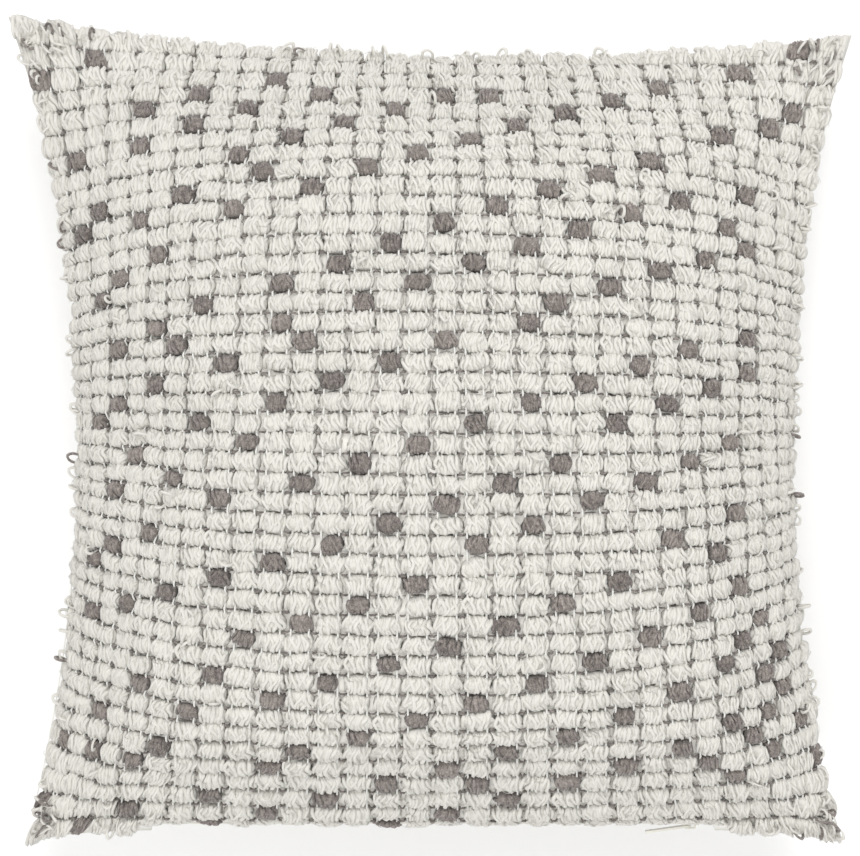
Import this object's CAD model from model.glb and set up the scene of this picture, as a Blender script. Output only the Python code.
import math

import bpy
import numpy as np
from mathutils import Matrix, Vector


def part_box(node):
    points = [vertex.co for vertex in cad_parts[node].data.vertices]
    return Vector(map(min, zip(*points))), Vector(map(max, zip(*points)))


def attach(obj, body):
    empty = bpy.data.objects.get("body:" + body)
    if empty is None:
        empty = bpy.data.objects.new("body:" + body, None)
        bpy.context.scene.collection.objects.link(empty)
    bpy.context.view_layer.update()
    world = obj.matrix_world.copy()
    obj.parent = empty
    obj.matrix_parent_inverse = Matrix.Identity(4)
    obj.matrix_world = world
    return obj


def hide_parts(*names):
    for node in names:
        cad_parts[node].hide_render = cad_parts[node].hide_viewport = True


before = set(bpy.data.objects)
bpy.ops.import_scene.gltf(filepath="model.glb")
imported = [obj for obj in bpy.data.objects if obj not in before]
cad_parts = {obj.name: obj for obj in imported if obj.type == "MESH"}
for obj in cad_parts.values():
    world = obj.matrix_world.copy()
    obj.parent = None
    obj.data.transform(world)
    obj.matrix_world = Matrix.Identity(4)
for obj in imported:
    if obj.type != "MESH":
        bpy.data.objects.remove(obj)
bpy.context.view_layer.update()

# Throw pillow on its back, tufted face up. Metres; +Y is the plain side, -Y the side with the zip.
MM = 0.001

# The cover's place, from the frame
front_low, front_high = (np.array(corner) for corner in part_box("cover_front_cloth"))
back_low = np.array(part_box("cover_back_cloth")[0])
half_x = front_high[0]
half_y = front_high[1]
seam_z = front_low[2]
front_rise = front_high[2] - seam_z
rest_drop = seam_z - back_low[2]
mouth_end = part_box("zip_front_tape")[1][0]
coil_low, coil_high = (np.array(corner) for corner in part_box("zip_front_coil"))

# Shape of the filled cover
side_pull_left = 40 * MM
side_pull_right = 35 * MM
top_pull = 23 * MM
zip_pull = 6 * MM
back_drop = 82 * MM
fullness = 0.88
plain_reach = 0.34
zip_reach = 0.95
top_right_drop = 11 * MM
bottom_left_in = 15 * MM
bottom_right_in = 10 * MM
corner_droop = 3 * MM
flat_softness = 5 * MM
cloth_flat_scale = 1.035
puff_pressure = 3.0
puff_frames = 22
puff_limit = 9 * MM
puff_limit_rim = 1.0 * MM
rim_band = 12  # grid steps from the seam to the full limit

# Weave
columns = 32
rows = 44
tuft_variants = 16
tuft_half_width = 7.9 * MM
tuft_half_length = 5.6 * MM
tuft_height = 4.6 * MM
grey_tuft_share = np.array([0.84, 0.92])
curls_in_tuft = 7
curl_gap = 2.05 * MM
curl_radius = 1.14 * MM
hairs_in_tuft = 6
tuft_pitch = 15.6 * MM  # width of cloth that an unstretched tuft covers
row_pitch = 10.9 * MM  # length of cloth that an unstretched tuft covers
spacing_limits = (0.85, 1.6)
row_spacing_limits = (0.9, 1.6)
tuft_wander = 0.5 * MM
tuft_turn = 0.13
tall_from_row = 28  # tufts are longer from this row up to the top
tall_rows = 14
tall_share = 0.16
mouth_lift = 3.3 * MM  # how far the tufts beside the zip are set back from it
mouth_length_share = 0.45
mouth_height_share = 0.6
front_thickness = 1.2 * MM
back_thickness = 0.9 * MM

rng = np.random.default_rng(20)


def clear_selection():
    bpy.ops.object.select_all(action="DESELECT")


def unit(vectors):
    return vectors / np.maximum(np.linalg.norm(vectors, axis=-1, keepdims=True), 1e-9)


# ---------------------------------------------------------------- shader sheets
class Wire:
    """A shader socket that takes part in Python sums."""

    def __init__(self, sheet, socket):
        self.sheet = sheet
        self.socket = socket

    def combine(self, operation, first, second):
        return self.sheet.node("ShaderNodeMath", {"operation": operation}, {0: first, 1: second})

    def __add__(self, other):
        return self.combine("ADD", self, other)

    def __sub__(self, other):
        return self.combine("SUBTRACT", self, other)

    def __mul__(self, other):
        return self.combine("MULTIPLY", self, other)

    def __rsub__(self, other):
        return self.combine("SUBTRACT", other, self)

    __radd__ = __add__
    __rmul__ = __mul__

    def sine(self):
        return self.combine("SINE", self, 0.0)

    def clamp(self):
        return self.sheet.node("ShaderNodeClamp", {}, {"Value": self})

    def part(self, name):
        return self.sheet.node("ShaderNodeSeparateXYZ", {}, {"Vector": self}, name)


class Finish:
    """A material under construction."""

    def __init__(self, name):
        self.material = bpy.data.materials.new(name)
        self.material.use_nodes = True
        self.nodes = self.material.node_tree.nodes
        self.links = self.material.node_tree.links
        self.shader = self.nodes["Principled BSDF"]

    def node(self, kind, settings, sockets, output=0):
        made = self.nodes.new(kind)
        for key, value in settings.items():
            setattr(made, key, value)
        for key, value in sockets.items():
            if isinstance(value, Wire):
                self.links.new(value.socket, made.inputs[key])
            else:
                made.inputs[key].default_value = value
        return Wire(self, made.outputs[output])

    def place(self):
        return self.node("ShaderNodeTexCoord", {}, {}, "Object")

    def uv(self):
        return self.node("ShaderNodeUVMap", {"uv_map": "strand"}, {})

    def noise(self, scale, detail=3.0, vector=None):
        sockets = {"Vector": vector or self.place(), "Scale": scale, "Detail": detail}
        return self.node("ShaderNodeTexNoise", {}, sockets, "Fac")

    def tint(self, share, low, high):
        made = self.nodes.new("ShaderNodeMix")
        made.data_type = "RGBA"
        self.links.new(share.socket, made.inputs[0])
        made.inputs[6].default_value = (*low, 1)
        made.inputs[7].default_value = (*high, 1)
        return Wire(self, made.outputs[2])

    def shade(self, colour, share, darkest):
        """Darkens a colour where share is low."""
        made = self.nodes.new("ShaderNodeMix")
        made.data_type = "RGBA"
        made.blend_type = "MULTIPLY"
        made.inputs[0].default_value = 1.0
        grey = self.tint(share, (darkest,) * 3, (1, 1, 1))
        self.links.new(colour.socket, made.inputs[6])
        self.links.new(grey.socket, made.inputs[7])
        return Wire(self, made.outputs[2])

    def finish(self, colour, height, bump, distance, roughness, **constants):
        self.links.new(colour.socket, self.shader.inputs["Base Color"])
        if height is not None:
            sockets = {"Height": height, "Strength": bump, "Distance": distance}
            normal = self.node("ShaderNodeBump", {}, sockets)
            self.links.new(normal.socket, self.shader.inputs["Normal"])
        if isinstance(roughness, Wire):
            self.links.new(roughness.socket, self.shader.inputs["Roughness"])
        else:
            self.shader.inputs["Roughness"].default_value = roughness
        for key, value in constants.items():
            self.shader.inputs[key.replace("_", " ")].default_value = value
        return self.material


def yarn_finish(name, shadow, bright, darkest, contrast=1.0):
    """Soft plied yarn: the twist follows the strand, and fibres and dye vary along it."""
    f = Finish(name)
    uv = f.uv()
    around = uv.part("X")
    along = uv.part("Y")
    twist = (around * (4 * math.pi) + along * 1.6).sine()
    fibres = f.noise(2600.0, 2.0)
    lumps = f.noise(420.0, 2.0)
    batches = f.noise(28.0, 2.0)
    flow = f.node("ShaderNodeCombineXYZ", {}, {0: around * 9.0 + along * 1.1, 1: along * 0.35, 2: 0.0})
    hairs = f.noise(1.6, 3.0, flow)
    height = twist * 0.2 + hairs * 1.2 + fibres * 1.3 + lumps * 0.4
    share = ((batches * 0.25 + lumps * 0.4 + hairs * 0.6 + fibres * 0.75 - 1.0) * contrast + 0.5).clamp()
    colour = f.tint(share, shadow, bright)
    rise = f.node("ShaderNodeAttribute", {"attribute_name": "rise"}, {}, "Fac")
    colour = f.shade(colour, rise.clamp(), darkest)
    return f.finish(colour, height, 0.55, 0.0006, 0.92, Sheen_Weight=0.25, Sheen_Roughness=0.6,
                    Specular_IOR_Level=0.2)


def woven_finish(name, low, high, pitch, depth, roughness=0.9, sheen=0.15):
    """Plain weave: threads cross over and under at a pitch, with slubs."""
    f = Finish(name)
    place = f.place()
    turn = 2 * math.pi / pitch
    across = (place.part("X") * turn).sine()
    along = (place.part("Y") * turn).sine()
    slubs = f.noise(90.0, 4.0)
    fibres = f.noise(2200.0, 2.0)
    weave = across * along
    share = (weave * 0.16 + slubs * 0.8 + fibres * 0.25).clamp()
    height = weave * 0.5 + fibres * 0.4 + slubs * 0.6
    return f.finish(f.tint(share, low, high), height, 0.6, depth, roughness, Sheen_Weight=sheen,
                    Specular_IOR_Level=0.25)


def plain_finish(name, low, high, roughness, metallic=0.0, coat=0.0):
    """Moulded or enamelled parts with faint handling marks."""
    f = Finish(name)
    wear = f.noise(300.0, 4.0)
    marks = f.noise(1500.0, 2.0)
    rough = wear * 0.2 + (roughness - 0.1)
    return f.finish(f.tint(wear, low, high), marks, 0.12, 0.0002, rough, Metallic=metallic,
                    Coat_Weight=coat)


cream_yarn = yarn_finish("cream_yarn", (0.66, 0.642, 0.59), (0.82, 0.802, 0.748), 0.92)
grey_yarn = yarn_finish("grey_yarn", (0.04, 0.032, 0.028), (0.48, 0.42, 0.385), 0.5, 2.4)
warp_yarn = yarn_finish("warp_yarn", (0.78, 0.77, 0.73), (0.88, 0.87, 0.83), 0.9)
ground_cloth = woven_finish("ground_cloth", (0.82, 0.80, 0.75), (0.92, 0.90, 0.85), 1.6 * MM, 0.0004)
back_cloth = woven_finish("back_cloth", (0.68, 0.66, 0.61), (0.82, 0.80, 0.75), 1.1 * MM, 0.0003)
casing_cloth = woven_finish("casing_cloth", (0.80, 0.80, 0.78), (0.9, 0.9, 0.88), 0.6 * MM, 0.0001)
tape_cloth = woven_finish("tape_cloth", (0.66, 0.64, 0.58), (0.78, 0.76, 0.70), 0.7 * MM, 0.0001)
filling_fibre = woven_finish("filling_fibre", (0.88, 0.88, 0.87), (0.95, 0.95, 0.94), 9 * MM, 0.0006)
sewing_thread = woven_finish("sewing_thread", (0.72, 0.70, 0.64), (0.84, 0.82, 0.77), 0.5 * MM, 0.0001)
coil_nylon = plain_finish("coil_nylon", (0.70, 0.68, 0.61), (0.80, 0.78, 0.72), 0.4)
zip_enamel = plain_finish("zip_enamel", (0.66, 0.64, 0.57), (0.80, 0.78, 0.71), 0.34, 0.0, 0.3)


# ---------------------------------------------------------------- mesh helpers
def new_piece(name, points, faces, finish, smooth=True):
    mesh = bpy.data.meshes.new(name)
    mesh.from_pydata(points.tolist() if hasattr(points, "tolist") else points, [], faces)
    mesh.materials.append(finish)
    mesh.update()
    if smooth:
        mesh.polygons.foreach_set("use_smooth", np.ones(len(mesh.polygons), bool))
    piece = bpy.data.objects.new(name, mesh)
    bpy.context.collection.objects.link(piece)
    return piece


def settle(piece, slot, *nodes):
    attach(piece, "pillow")
    if nodes:
        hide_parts(*nodes)
    return piece


def through(points, steps):
    """A smooth line through a few points, in even steps between each two."""
    points = np.asarray(points, float)
    ends = np.vstack([2 * points[0] - points[1], points, 2 * points[-1] - points[-2]])
    line = []
    for k in range(len(points) - 1):
        a, b, c, d = ends[k : k + 4]
        for t in np.arange(steps) / steps:
            line.append(
                0.5 * (
                    2 * b + (c - a) * t
                    + (2 * a - 5 * b + 4 * c - d) * t * t
                    + (3 * b - a - 3 * c + d) * t ** 3
                )
            )
    line.append(points[-1])
    return np.array(line)


def tube(line, radius, sides, first_side=(1, 0, 0)):
    """A round strand along a line, closed at both ends: its points, faces and strand places."""
    line = np.asarray(line, float)
    along = unit(np.gradient(line, axis=0))
    side = np.asarray(first_side, float)
    side = unit(side - along * (along @ side)[:, None])
    up = np.cross(along, side)
    angle = 2 * math.pi * np.arange(sides) / sides
    radius = np.broadcast_to(radius, len(line)).copy()
    radius[[0, -1]] *= 0.55
    ring = np.cos(angle)[None, :, None] * side[:, None, :] + np.sin(angle)[None, :, None] * up[:, None, :]
    points = (line[:, None, :] + ring * radius[:, None, None]).reshape(-1, 3)
    faces = []
    for k in range(len(line) - 1):
        for s in range(sides):
            t = (s + 1) % sides
            faces.append((k * sides + s, k * sides + t, (k + 1) * sides + t, (k + 1) * sides + s))
    faces.append(tuple(range(sides))[::-1])
    last = (len(line) - 1) * sides
    faces.append(tuple(range(last, last + sides)))
    length = np.concatenate([[0], np.cumsum(np.linalg.norm(np.diff(line, axis=0), axis=1))])
    around = np.tile(np.arange(sides) / sides, len(line))
    far = np.repeat(length / MM, sides)
    return points, faces, np.stack([around, far], 1)


class Bundle:
    """Many strands gathered into one mesh, with their strand places and how high each point stands."""

    def __init__(self):
        self.points, self.faces, self.uvs, self.rises = [], [], [], []
        self.count = 0

    def add(self, points, faces, uvs, rises):
        self.points.append(points)
        self.faces.append((faces, self.count))
        self.uvs.append(uvs)
        self.rises.append(rises)
        self.count += len(points)

    def piece(self, name, finish):
        points = np.concatenate(self.points)
        faces = [tuple(i + start for i in face) for group, start in self.faces for face in group]
        made = new_piece(name, points, faces, finish)
        uvs = np.concatenate(self.uvs)
        loops = np.empty(len(made.data.loops), np.int64)
        made.data.loops.foreach_get("vertex_index", loops)
        layer = made.data.uv_layers.new(name="strand")
        layer.data.foreach_set("uv", uvs[loops].ravel())
        rise = made.data.attributes.new("rise", "FLOAT", "POINT")
        rise.data.foreach_set("value", np.concatenate(self.rises))
        return made


# ---------------------------------------------------------------- the filled cover
def cubic(t):
    return np.stack([(1 - t) ** 3, 3 * t * (1 - t) ** 2, 3 * t * t * (1 - t), t ** 3], -1)


def cover_net(lift):
    """Control points of one bulged face: four across by four along."""
    x, y = half_x, half_y
    left, right = side_pull_left * 4 / 3, side_pull_right * 4 / 3
    top, low = y - top_pull * 4 / 3, -y + zip_pull * 4 / 3
    mid = y * plain_reach
    return np.array([
        [(-x, -y, 0), (-x + left, -mid, 0), (-x + left, mid, 0), (-x, y, 0)],
        [(-x * zip_reach, low, 0), (-x * fullness, -y * fullness, lift), (-x * fullness, y * fullness, lift),
         (-x * plain_reach, top, 0)],
        [(x * zip_reach, low, 0), (x * fullness, -y * fullness, lift), (x * fullness, y * fullness, lift),
         (x * plain_reach, top, 0)],
        [(x, -y, 0), (x - right, -mid, 0), (x - right, mid, 0), (x, y, 0)],
    ])


def even_stations(low, high, reach, lift, count):
    """Parameters that share out a cloth's length evenly over the crown."""
    t = np.linspace(0, 1, 2001)
    arch = cubic(t) @ np.array([(low, 0), (low * reach, lift), (high * reach, lift), (high, 0)])
    length = np.concatenate([[0], np.cumsum(np.linalg.norm(np.diff(arch, axis=0), axis=1))])
    return np.interp(np.linspace(0, length[-1], count), length, t)


across = 2 * columns + 1
along = 2 * rows + 1
u = even_stations(-half_x + side_pull_left, half_x - side_pull_right, fullness, front_rise * 4 / 3, across)
v = even_stations(-half_y + zip_pull, half_y - top_pull, fullness, front_rise * 4 / 3, along)


def bulge(rise):
    points = np.einsum("ia,jb,abc->ijc", cubic(u), cubic(v), cover_net(rise * 16 / 9))
    right, high = u[:, None], v[None, :]
    points[..., 1] -= top_right_drop * (right * high) ** 2
    points[..., 0] += bottom_left_in * ((1 - right) * (1 - high)) ** 2
    points[..., 0] -= bottom_right_in * (right * (1 - high)) ** 2
    points[..., 1] -= corner_droop * (2 * np.abs(right - 0.5)) ** 6 * (1 - high) ** 6
    return points


front_grid = bulge(front_rise)
back_grid = bulge(-back_drop)


def envelope():
    """The two faces as one closed skin, sewn along the seam."""
    index = np.arange(across * along).reshape(across, along)
    inner = index[1:-1, 1:-1]
    back_index = index.copy()
    back_index[1:-1, 1:-1] = across * along + np.arange(inner.size).reshape(inner.shape)
    points = np.vstack([front_grid.reshape(-1, 3), back_grid[1:-1, 1:-1].reshape(-1, 3)])
    faces = []
    for i in range(across - 1):
        for j in range(along - 1):
            faces.append((index[i, j], index[i + 1, j], index[i + 1, j + 1], index[i, j + 1]))
            faces.append((
                back_index[i, j], back_index[i, j + 1], back_index[i + 1, j + 1], back_index[i + 1, j]
            ))
    return points, [tuple(int(k) for k in face) for face in faces], index, back_index


def puff(points, faces, index, back_index):
    """Inflates the sewn skin: its cloth was cut flat, so it creases where the bulge has cloth to spare."""
    skin = new_piece("puffing", points, faces, back_cloth)
    flat_x = np.linspace(-half_x, half_x, across) * cloth_flat_scale
    flat_y = np.linspace(-half_y, half_y, along) * cloth_flat_scale
    flat = np.zeros_like(points)
    for grid in (index, back_index):
        flat[grid, 0] = flat_x[:, None]
        flat[grid, 1] = flat_y[None, :]
    clear_selection()
    bpy.context.view_layer.objects.active = skin
    skin.shape_key_add(name="Basis")
    cut = skin.shape_key_add(name="cut")
    cut.data.foreach_set("co", flat.ravel())
    cut.value = 0.0
    cloth = skin.modifiers.new("cloth", "CLOTH")
    cloth.settings.quality = 6
    cloth.settings.mass = 0.3
    cloth.settings.tension_stiffness = 8
    cloth.settings.compression_stiffness = 4
    cloth.settings.shear_stiffness = 1.0
    cloth.settings.bending_stiffness = 0.15
    cloth.settings.use_pressure = True
    cloth.settings.uniform_pressure_force = puff_pressure
    cloth.settings.effector_weights.gravity = 0
    cloth.settings.rest_shape_key = cut
    cloth.collision_settings.use_collision = False
    cloth.point_cache.frame_start = 1
    cloth.point_cache.frame_end = puff_frames
    scene = bpy.context.scene
    for number in range(1, puff_frames + 1):
        scene.frame_set(number)
    result = skin.evaluated_get(bpy.context.evaluated_depsgraph_get()).data
    moved = np.empty(len(points) * 3)
    result.vertices.foreach_get("co", moved)
    moved = moved.reshape(-1, 3)
    scene.frame_set(1)
    bpy.data.objects.remove(skin)
    step = moved - points
    far = np.linalg.norm(step, axis=1, keepdims=True)
    i, j = np.meshgrid(np.arange(across), np.arange(along), indexing="ij")
    inward = np.minimum(np.minimum(i, across - 1 - i), np.minimum(j, along - 1 - j))
    share = np.zeros((len(points), 1))
    for grid in (index, back_index):
        share[grid, 0] = np.minimum(1, inward / rim_band)
    limit = puff_limit_rim + (puff_limit - puff_limit_rim) * share
    return points + step * np.minimum(1, limit / np.maximum(far, 1e-9))


points, faces, index, back_index = envelope()
points = puff(points, faces, index, back_index)


def rest_on_floor(grid):
    """The back flattens where it lies on the floor."""
    z = grid[..., 2]
    grid[..., 2] = -rest_drop + flat_softness * np.logaddexp(0, (z + rest_drop) / flat_softness)
    return grid


front_grid = points[index]
back_grid = points[back_index]
low = back_grid[..., 2] < -rest_drop + 3 * flat_softness
back_grid = np.where(low[..., None], rest_on_floor(back_grid.copy()), back_grid)
rim = np.zeros((across, along), bool)
rim[[0, -1], :] = True
rim[:, [0, -1]] = True
back_grid[rim] = front_grid[rim]
front_grid[..., 2] += seam_z
back_grid[..., 2] += seam_z


def frame_of(grid, side):
    """Cloth directions and outward normal at each grid point."""
    right = unit(np.gradient(grid, axis=0))
    up = unit(np.gradient(grid, axis=1))
    out = unit(np.cross(right, up)) * side
    return right, up, out


right, up, out = frame_of(front_grid, 1)
back_out = frame_of(back_grid, -1)[2]


def cloth_piece(name, grid, side, thickness, finish, mouth=mouth_end):
    """One face of the cover as a sheet with thickness, open at the zip."""
    ids = np.arange(across * along).reshape(across, along)
    quads = []
    for i in range(across - 1):
        for j in range(along - 1):
            x = 0.5 * (grid[i, j, 0] + grid[i + 1, j, 0])
            if j == 0 and abs(x) < mouth:
                continue
            quad = (ids[i, j], ids[i + 1, j], ids[i + 1, j + 1], ids[i, j + 1])
            quads.append(tuple(int(k) for k in (quad if side > 0 else quad[::-1])))
    piece = new_piece(name, grid.reshape(-1, 3), quads, finish)
    clear_selection()
    piece.select_set(True)
    bpy.context.view_layer.objects.active = piece
    wall = piece.modifiers.new("wall", "SOLIDIFY")
    wall.thickness = thickness
    wall.offset = -1
    bpy.ops.object.modifier_apply(modifier="wall")
    bpy.ops.object.mode_set(mode="EDIT")
    bpy.ops.mesh.select_all(action="SELECT")
    bpy.ops.mesh.delete_loose()
    bpy.ops.object.mode_set(mode="OBJECT")
    return piece


front_cover = cloth_piece("front_cloth", front_grid, 1, front_thickness, ground_cloth)
settle(front_cover, "ground_cloth", "cover_front_cloth", "cover_seam_thread")
back_cover = cloth_piece("back_cloth", back_grid, -1, back_thickness, back_cloth)
settle(back_cover, "back_cloth", "cover_back_cloth")

# The insert follows the cover, a little inside it
casing_inset = 12 * MM
casing_depth = 2.4 * MM
casing_thickness = 0.4 * MM
casing_flattening = 0.98
for name, grid, side, out_way in (("front", front_grid, 1, out), ("back", back_grid, -1, back_out)):
    inner = grid - out_way * casing_depth
    inner[..., 0] *= 1 - casing_inset / half_x
    inner[..., 1] *= 1 - casing_inset / half_y
    inner[..., 2] = seam_z + (inner[..., 2] - seam_z) * casing_flattening
    casing = cloth_piece(f"{name}_casing", inner, side, casing_thickness, casing_cloth, 0)
    settle(casing, "casing", f"insert_{name}_casing")

# ---------------------------------------------------------------- loop tufts
# Where the grey tufts are: row from the top, column from the left, and length of each diagonal.
# Along a diagonal each step goes one row down and two columns back.
grey_diagonals = [
    (0, 30, 2), (2, 25, 8), (10, 8, 1), (12, 5, 2), (1, 2, 1), (2, 0, 1), (2, 9, 1),
    (3, 18, 1), (3, 16, 5), (3, 11, 1), (4, 8, 3), (3, 6, 2), (6, 1, 1), (3, 30, 1),
    (4, 29, 2), (7, 24, 8), (15, 7, 3), (8, 28, 1), (9, 25, 7), (16, 10, 1), (17, 6, 1),
    (8, 9, 1), (9, 6, 2), (9, 2, 1), (10, 1, 1), (10, 27, 1), (11, 28, 5), (16, 19, 1),
    (17, 16, 4), (21, 7, 1), (14, 2, 1), (16, 28, 1), (17, 25, 1), (18, 23, 7), (25, 8, 1),
    (27, 5, 2), (17, 11, 1), (18, 8, 1), (19, 5, 2), (21, 2, 1), (18, 28, 4), (22, 27, 1),
    (23, 25, 5), (29, 15, 4), (22, 9, 1), (23, 4, 1), (24, 6, 1), (25, 3, 1), (23, 20, 10),
    (26, 27, 1), (27, 24, 1), (28, 26, 1), (29, 22, 7), (36, 7, 1), (29, 2, 1), (30, 27, 9),
    (39, 10, 1), (32, 28, 1), (33, 27, 1), (34, 26, 10), (34, 29, 1), (35, 28, 1), (36, 29, 1),
    (37, 26, 7), (37, 28, 1), (38, 30, 3), (38, 27, 2), (40, 17, 1), (40, 31, 1), (34, 8, 1),
    (35, 5, 1), (37, 3, 1), (38, 6, 1), (39, 5, 1), (39, 3, 1), (39, 1, 1), (41, 8, 1),
    (42, 5, 1), (43, 3, 1), (42, 0, 1),
]
grey_places = set()
for start_row, start_column, run in grey_diagonals:
    for step in range(run):
        grey_places.add((start_column - 2 * step, rows - 1 - (start_row + step)))



def dome(x, y):
    """Height of a tuft's soft body over the cloth."""
    left = 1 - np.abs(x / tuft_half_width) ** 2.6 - np.abs(y / tuft_half_length) ** 2.4
    return tuft_height * np.maximum(left, 0) ** 0.45


def body(draw):
    """The tuft's soft body: rings from its foot to its top."""
    sides, rings = 14, 4
    angle = 2 * math.pi * np.arange(sides) / sides
    lean = draw.normal(0, 0.5, 2) * MM
    points = []
    for k in range(rings):
        reach = math.cos(0.5 * math.pi * k / rings) ** 0.8
        high = math.sin(0.5 * math.pi * k / rings)
        lumps = 1 + draw.normal(0, 0.05, sides)
        x = tuft_half_width * reach * lumps * np.sign(np.cos(angle)) * np.abs(np.cos(angle)) ** 0.8
        y = tuft_half_length * reach * lumps * np.sign(np.sin(angle)) * np.abs(np.sin(angle)) ** 0.85
        z = np.full(sides, tuft_height * high)
        points.append(np.stack([x + lean[0] * high, y + lean[1] * high, z], 1))
    points.append(np.array([[lean[0], lean[1], tuft_height * 1.02]]))
    points = np.concatenate(points)
    faces = []
    for k in range(rings - 1):
        for q in range(sides):
            t = (q + 1) % sides
            faces.append((k * sides + q, k * sides + t, (k + 1) * sides + t, (k + 1) * sides + q))
    last = (rings - 1) * sides
    for q in range(sides):
        faces.append((last + q, last + (q + 1) % sides, rings * sides))
    faces.append(tuple(range(sides))[::-1])
    uvs = np.stack([points[:, 0] / (5.4 * MM), points[:, 1] / MM], 1)
    return points, faces, uvs


def make_tuft(seed):
    """A soft puff of carded yarn, with curls of it half sunk in its top and a few loose hairs."""
    draw = np.random.default_rng(seed)
    bundle = Bundle()
    points, faces, uvs = body(draw)
    bundle.add(points, faces, uvs, np.clip(points[:, 2] / tuft_height, 0, 1))
    middle = (curls_in_tuft - 1) / 2
    for k in range(curls_in_tuft):
        t = np.linspace(-1, 1, 9)
        side = (k - middle) * curl_gap + draw.normal(0, 0.30) * MM
        wave = draw.uniform(0.5, 1.5) * MM * np.sin(draw.uniform(0, 6.3) + draw.uniform(1.6, 3.6) * t)
        slant = draw.normal(0, 0.9) * MM
        reach = 0.97 - 0.16 * abs(k - middle) / middle
        x = np.clip(side + wave + slant * t, -0.95 * tuft_half_width, 0.95 * tuft_half_width)
        y = t * tuft_half_length * reach + draw.normal(0, 0.35) * MM
        z = dome(x * 0.93, y * 0.93) + (draw.normal(0, 0.25) - 0.15) * MM
        thick = curl_radius * (1 + np.convolve(draw.normal(0, 0.22, 9), [0.3, 0.4, 0.3], "same"))
        points, faces, uvs = tube(np.stack([x, y, z], 1), thick, 5)
        uvs[:, 1] += draw.uniform(0, 40)
        bundle.add(points, faces, uvs, np.clip(points[:, 2] / tuft_height, 0, 1))
    for _ in range(hairs_in_tuft):
        x, y = draw.uniform(-0.75, 0.75, 2) * np.array([tuft_half_width, tuft_half_length])
        way = draw.uniform(0, 2 * math.pi)
        t = np.linspace(-1, 1, 5)
        far = draw.uniform(1.6, 3.4) * MM
        px = x + far * t * math.cos(way)
        py = y + far * t * math.sin(way)
        pz = dome(x, y) + (draw.uniform(0.9, 2.0) * (1 - t * t) + 0.1) * MM
        points, faces, uvs = tube(np.stack([px, py, pz], 1), 0.14 * MM, 3)
        bundle.add(points, faces, uvs, np.ones(len(points)))
    faces = [tuple(i + start for i in face) for group, start in bundle.faces for face in group]
    return np.concatenate(bundle.points), faces, np.concatenate(bundle.uvs), np.concatenate(bundle.rises)


tufts = [make_tuft(100 + k) for k in range(tuft_variants)]


def lay(shape, place, side, lean, normal, turn, size):
    """Sets a tuft on the cloth: turned about the normal and scaled."""
    c, s = math.cos(turn), math.sin(turn)
    x_way = side * c + lean * s
    y_way = lean * c - side * s
    local = shape * size
    return place + local[:, :1] * x_way + local[:, 1:2] * y_way + local[:, 2:] * normal


bands = 10
cream = [Bundle() for _ in range(bands)]
grey = Bundle()
for row in range(rows):
    for column in range(columns):
        i, j = 2 * column + 1, 2 * row + 1
        shape, faces, uvs, rises = tufts[rng.integers(tuft_variants)]
        near_mouth = row == 0 and abs(front_grid[i, j, 0]) < mouth_end + 6 * MM
        size = np.array([1 + rng.normal(0, 0.06), 1 + rng.normal(0, 0.06), 1 + rng.normal(0, 0.12)])
        spacing = np.linalg.norm(front_grid[i + 1, j] - front_grid[i - 1, j]) / tuft_pitch
        row_spacing = np.linalg.norm(front_grid[i, j + 1] - front_grid[i, j - 1]) / row_pitch
        size[0] *= np.clip(spacing, *spacing_limits)
        size[1] *= np.clip(row_spacing, *row_spacing_limits)
        size[1] *= 1 + tall_share * min(max((row - tall_from_row) / tall_rows, 0), 1)
        if near_mouth:
            size[1] *= mouth_length_share
            size[2] *= mouth_height_share
        wander = rng.normal(0, tuft_wander, 2)
        wander[1] += mouth_lift if near_mouth else 0
        place = front_grid[i, j] + right[i, j] * wander[0] + up[i, j] * wander[1]
        is_grey = (column, row) in grey_places
        if is_grey:
            size[:2] *= grey_tuft_share
        points = lay(shape, place, right[i, j], up[i, j], out[i, j], rng.normal(0, tuft_turn), size)
        target = grey if is_grey else cream[row * bands // rows]
        target.add(points, faces, uvs, rises)

for number, bundle in enumerate(cream):
    piece = bundle.piece(f"cream_tufts_{number + 1}", cream_yarn)
    settle(piece, "cream_yarn", *(["cream_loop_pile"] if number == 0 else []))
settle(grey.piece("grey_tufts", grey_yarn), "grey_yarn", "grey_loop_tufts")

# Grey carrier yarn between the rows: a short peg at each column gap and a longer run behind each
# tuft. Each has its half length, its lift over the cloth and its radius.
peg = (1.9 * MM, 2.6 * MM, 0.72 * MM)
hidden_run = (3.0 * MM, 0.6 * MM, 0.4 * MM)
floats = Bundle()


def add_float(i, j, half_length, lift, radius):
    t = np.array([-1.0, -0.5, 0.5, 1.0])
    reach = half_length * (1 + rng.normal(0, 0.15))
    path = np.stack([t * reach, t * reach * rng.normal(0, 0.06), lift * (1.3 - t * t)], 1)
    points, faces, uvs = tube(path, radius, 5, (0, 1, 0))
    place = front_grid[i, j] + up[i, j] * rng.normal(0, 0.25 * MM)
    points = lay(points, place, right[i, j], up[i, j], out[i, j], 0, np.ones(3))
    floats.add(points, faces, uvs, np.full(len(points), 0.5))


for row in range(rows - 1):
    for column in range(columns):
        add_float(2 * column + 1, 2 * row + 2, *hidden_run)
        if column < columns - 1:
            add_float(2 * column + 2, 2 * row + 2, *peg)
settle(floats.piece("grey_weft", grey_yarn), "grey_yarn")

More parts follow.
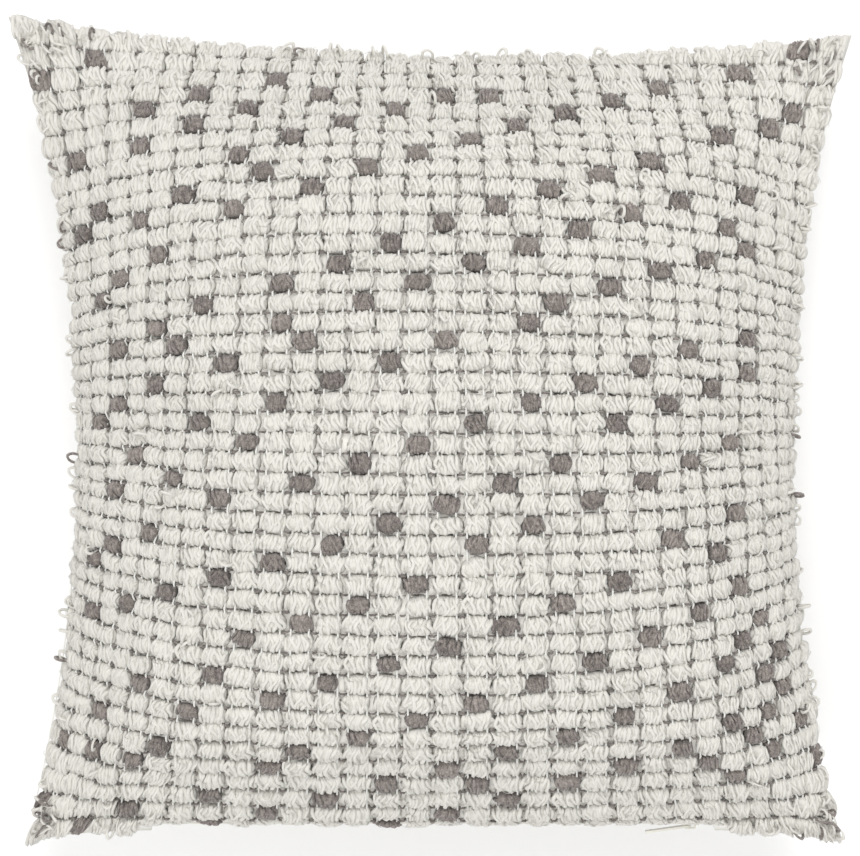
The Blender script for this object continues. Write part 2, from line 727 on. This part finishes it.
# Cream warp threads, two to a column gap, bound over the carrier yarn between the rows
warp_offset = 3.0 * MM
warp_radius = 0.62 * MM
warp = Bundle()
for column in range(columns - 1):
    i = 2 * column + 2
    for offset in (-warp_offset, warp_offset):
        lift = (1.6 + 1.4 * np.cos(math.pi * np.arange(along))) * MM
        path = front_grid[i] + right[i] * offset + out[i] * lift[:, None]
        points, faces, uvs = tube(path[2:-1], warp_radius, 5)
        warp.add(points, faces, uvs, np.full(len(points), 0.9))
settle(warp.piece("warp_threads", warp_yarn), "cream_yarn")


# Stray loops that stand out of the pile, more of them along the rim and at the corners
stray_loop = np.array(
    [(-1.2, 0.5), (-3.0, 4.5), (-1.6, 8.4), (1.8, 9.2), (3.6, 6.0), (2.4, 2.2), (0.9, 0.6)]
)
stray_radius = 0.85 * MM


def stray(places, name, finish, slot, big):
    bundle = Bundle()
    for i, j in places:
        tall = big * rng.uniform(0.8, 1.25)
        ring = stray_loop * MM * tall
        turn = rng.uniform(0, math.pi)
        line = through(ring, 2)
        path = np.stack([line[:, 0], np.linspace(-1, 1, len(line)) * MM, line[:, 1] + 1.5 * MM], 1)
        points, faces, uvs = tube(path, stray_radius, 5, (0, 1, 0))
        normal = unit(out[i, j] + rng.normal(0, 0.25, 3))
        points = lay(points, front_grid[i, j], right[i, j], up[i, j], normal, turn, np.ones(3))
        bundle.add(points, faces, uvs, np.full(len(points), 0.8))
    settle(bundle.piece(name, finish), slot)


def rim_places(count):
    places = []
    for _ in range(count):
        side = rng.integers(4)
        if side < 2:
            places.append(((1, across - 2)[side], rng.integers(1, along - 1)))
        else:
            places.append((rng.integers(1, across - 1), (1, along - 2)[side - 2]))
    return [(i, j) for i, j in places if not (j < 3 and abs(front_grid[i, j, 0]) < mouth_end + 8 * MM)]


corners = [(i + a, j + b) for i, j in ((1, 1), (across - 4, 1), (1, along - 4), (across - 4, along - 4))
           for a in range(3) for b in range(3)]
inner_places = [(int(rng.integers(3, across - 3)), int(rng.integers(3, along - 3))) for _ in range(70)]
stray(rim_places(110) + inner_places, "stray_cream_loops", cream_yarn, "cream_yarn", 0.8)
grey_corners = [place for place in corners if rng.random() < 0.45]
stray([place for place in corners if rng.random() < 0.8], "corner_loops", cream_yarn, "cream_yarn", 0.9)
stray(rim_places(16) + grey_corners, "stray_grey_loops", grey_yarn, "grey_yarn", 0.85)

# ---------------------------------------------------------------- zip and stitching
def edge_line(grid, out_way, j, lift, span):
    """Points along a grid row near the zip."""
    inside = np.abs(grid[:, 1, 0]) < span
    lower, share = int(j), j - int(j)
    line = grid[:, lower] * (1 - share) + grid[:, lower + 1] * share
    normal = unit(out_way[:, lower] * (1 - share) + out_way[:, lower + 1] * share)
    return (line + normal * lift)[inside]


def hem(name, grid, out_way, finish, slot):
    """The folded edge of the cloth along the zip."""
    line = edge_line(grid, out_way, 1, -0.5 * MM, mouth_end + 4 * MM)
    bundle = Bundle()
    points, faces, uvs = tube(line, 1.0 * MM, 10, (0, 0, 1))
    bundle.add(points, faces, uvs, np.ones(len(points)))
    settle(bundle.piece(name, finish), slot)


hem("front_hem", front_grid, out, back_cloth, "ground_cloth")
hem("back_hem", back_grid, back_out, back_cloth, "back_cloth")


def stitches(name, grid, out_way, j, node):
    line = edge_line(grid, out_way, j, 0.25 * MM, mouth_end)
    length = np.concatenate([[0], np.cumsum(np.linalg.norm(np.diff(line, axis=0), axis=1))])
    pitch, stitch = 3.6 * MM, 2.7 * MM
    bundle = Bundle()
    for start in np.arange(0, length[-1] - stitch, pitch):
        steps = start + stitch * np.array([0.0, 0.2, 0.8, 1.0])
        path = np.stack([np.interp(steps, length, line[:, axis]) for axis in range(3)], 1)
        path[[0, -1]] -= out_way[across // 2, 2] * 0.35 * MM
        points, faces, uvs = tube(path, 0.3 * MM, 5, (0, 0, 1))
        bundle.add(points, faces, uvs, np.ones(len(points)))
    settle(bundle.piece(name, sewing_thread), "thread", node)


stitches("front_stitches", front_grid, out, 1.45, "zip_front_stitching")
stitches("back_stitches", back_grid, back_out, 1.45, "zip_back_stitching")


def coil(name, node):
    """The chain: a nylon filament wound in tight turns, flattened."""
    low, high = (np.array(corner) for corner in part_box(node))
    centre = (low + high) / 2
    radius = (high[2] - low[2]) / 2
    wire = 0.34 * MM
    turns = int((high[0] - low[0]) / (1.35 * MM))
    angle = np.linspace(0, 2 * math.pi * turns, turns * 8)
    line = np.stack([
        np.linspace(low[0], high[0], len(angle)),
        centre[1] + (radius - wire) * np.sin(angle),
        centre[2] + (radius - wire) * np.cos(angle),
    ], 1)
    bundle = Bundle()
    points, faces, uvs = tube(line, wire, 5, (1, 0.01, 0))
    bundle.add(points, faces, uvs, np.ones(len(points)))
    settle(bundle.piece(name, coil_nylon), "zip_coil", node)


coil("front_coil", "zip_front_coil")
coil("back_coil", "zip_back_coil")

node_finishes = {
    "insert_seam_thread": sewing_thread, "fibre_filling": filling_fibre,
    "zip_front_tape": tape_cloth, "zip_back_tape": tape_cloth,
    "zip_top_stops": zip_enamel, "zip_bottom_stop": zip_enamel, "zip_bar_tacks": sewing_thread,
    "zip_slider": zip_enamel, "zip_pull_tab": zip_enamel,
}
for node, finish in node_finishes.items():
    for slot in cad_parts[node].material_slots:
        slot.material = finish

# ---------------------------------------------------------------- floor, light and camera
floor_finish = Finish("floor_finish")
floor_grain = floor_finish.noise(3.0, 2.0)
floor_finish.finish(floor_finish.tint(floor_grain, (0.93, 0.93, 0.93), (0.95, 0.95, 0.95)), None, 0, 0, 0.9)
clear_selection()
bpy.ops.mesh.primitive_plane_add(size=8.0, location=(0, 0, 0))
floor = bpy.context.object
floor.name = "floor"
floor.data.materials.append(floor_finish.material)

world = bpy.data.worlds.new("studio")
bpy.context.scene.world = world
world.use_nodes = True
world.node_tree.nodes["Background"].inputs["Color"].default_value = (1.0, 1.0, 1.0, 1)
world.node_tree.nodes["Background"].inputs["Strength"].default_value = 0.74


def lamp(name, place, aim, size, power):
    light = bpy.data.lights.new(name, "AREA")
    light.shape = "DISK"
    light.size = size
    light.energy = power
    holder = bpy.data.objects.new(name, light)
    bpy.context.collection.objects.link(holder)
    holder.location = place
    way = np.array(aim) - np.array(place)
    holder.rotation_euler = Vector(way).to_track_quat("-Z", "Y").to_euler()
    return holder


lamp_aim = (0, 0, 0.05)
lamp("key", (0.35, 1.3, 2.2), lamp_aim, 1.6, 30)
lamp("fill", (-0.8, -1.3, 2.3), lamp_aim, 2.0, 24)

camera_data = bpy.data.cameras.new("camera")
camera = bpy.data.objects.new("camera", camera_data)
bpy.context.collection.objects.link(camera)
camera_height = 1.60
view_width = 0.4985  # what the frame takes in at the height of the seam
camera_data.sensor_width = 36.0
camera_data.lens = 36.0 * (camera_height - seam_z) / view_width
camera_data.clip_end = 50
camera.location = (0.0, -0.0005, camera_height)
camera.rotation_euler = (0, 0, 0)
bpy.context.scene.camera = camera
bpy.context.scene.view_settings.view_transform = "Standard"
